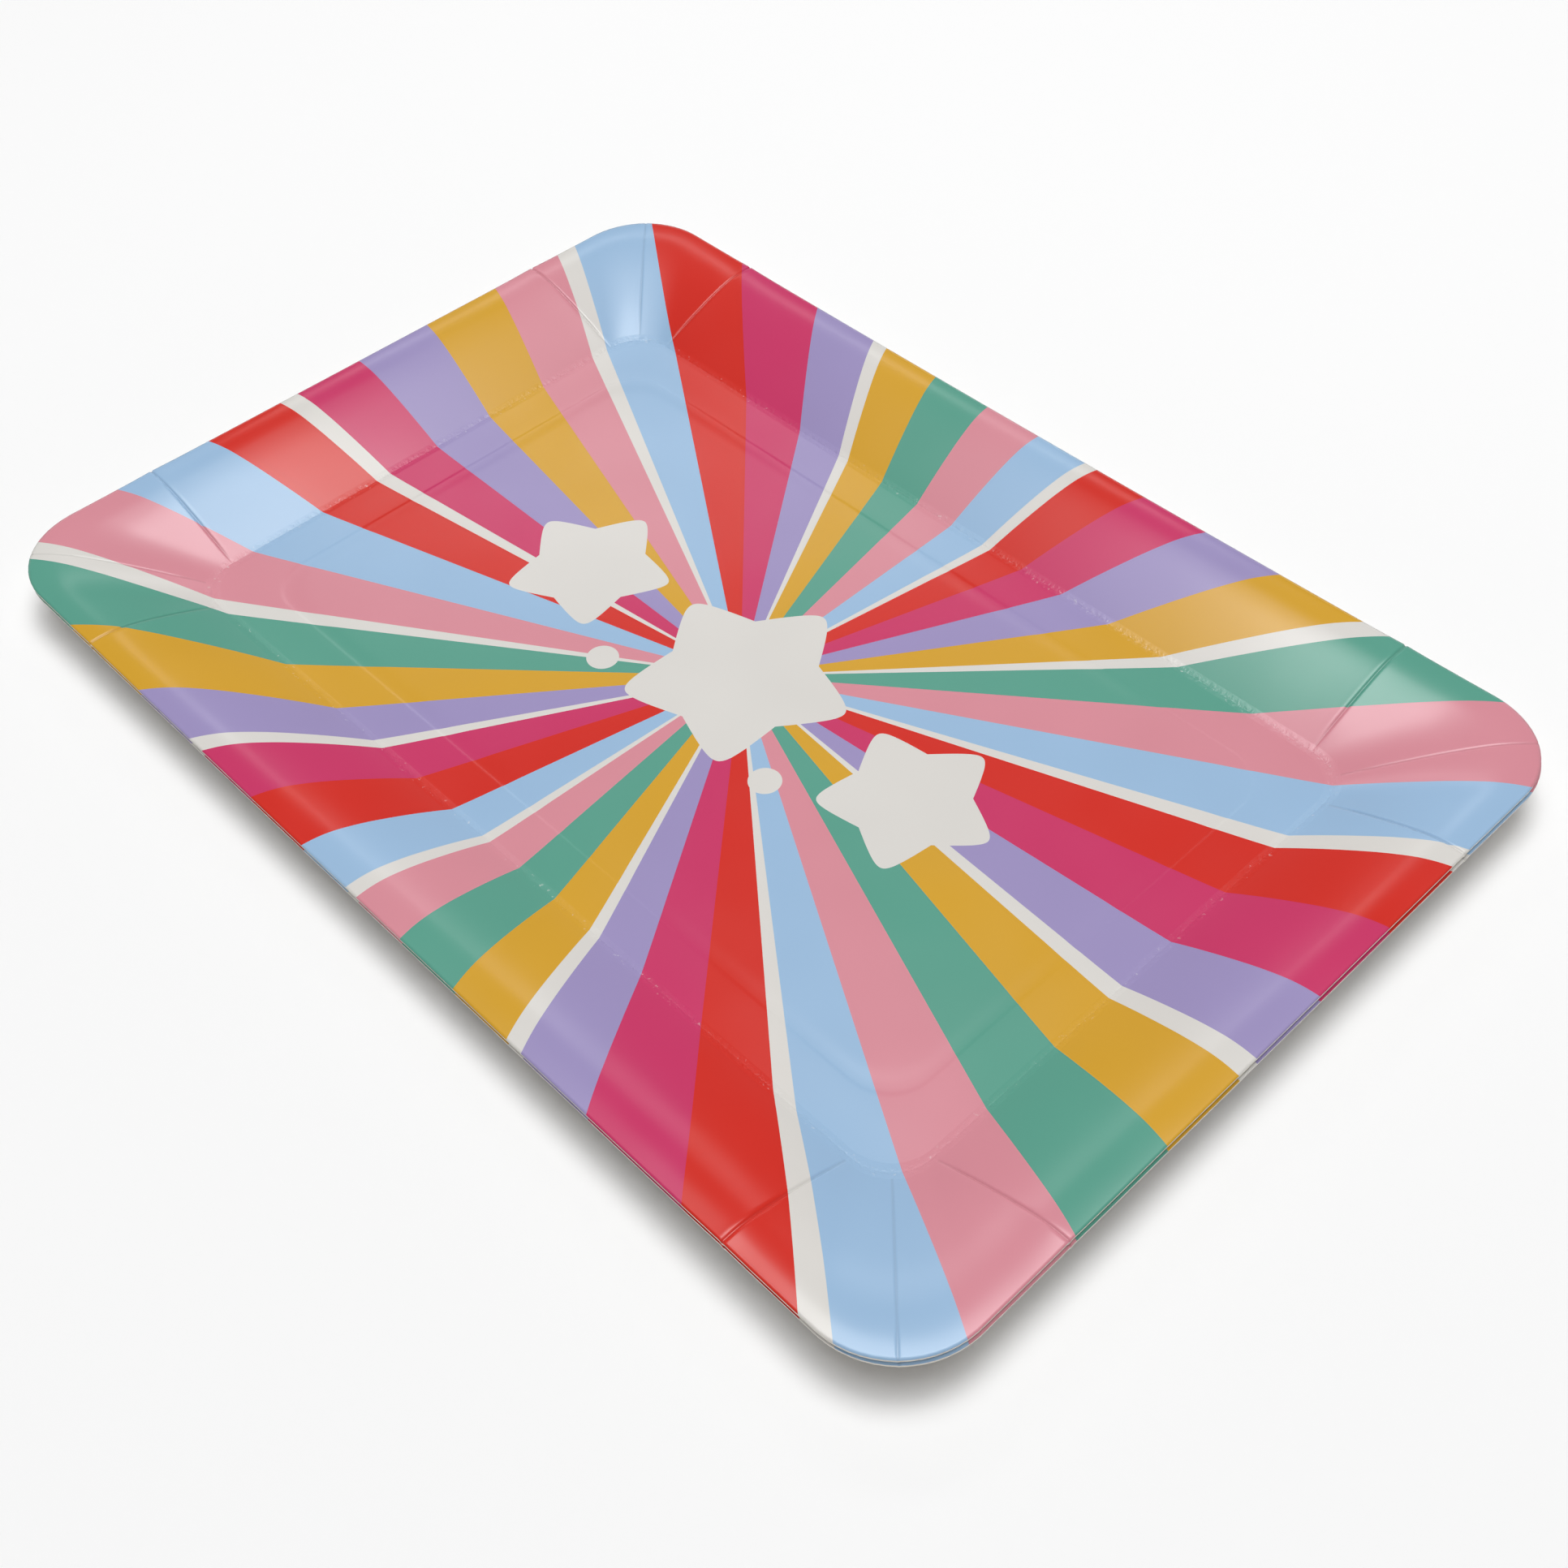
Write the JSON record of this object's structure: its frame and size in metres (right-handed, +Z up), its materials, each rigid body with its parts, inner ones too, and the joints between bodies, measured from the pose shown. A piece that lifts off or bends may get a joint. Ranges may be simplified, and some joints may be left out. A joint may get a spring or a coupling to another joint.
{
  "type": "nested party plates",
  "caption": "Rectangular pressed paperboard party plates with a sloping wall and rounded rim, nested so that the upper plate lifts straight out.",
  "frame": {"origin": "middle of the pair's outline, on the surface that the lower plate rests on", "axes": "+X along the plates' long side, +Y along the short side, +Z up out of the well"},
  "size_m": [0.2354, 0.1636, 0.0099],
  "materials": {
    "lower_print": "gloss",
    "upper_print": "gloss"
  },
  "bodies": {
    "lower": {"plate_lower": "lower_print"},
    "upper": {"plate_upper": "upper_print"}
  },
  "joints": [
    {"name": "upper_lift", "type": "slide", "parent": "lower", "child": "upper", "axis": [0, 0, 1], "range_m": [0, 0.06]}
  ]
}
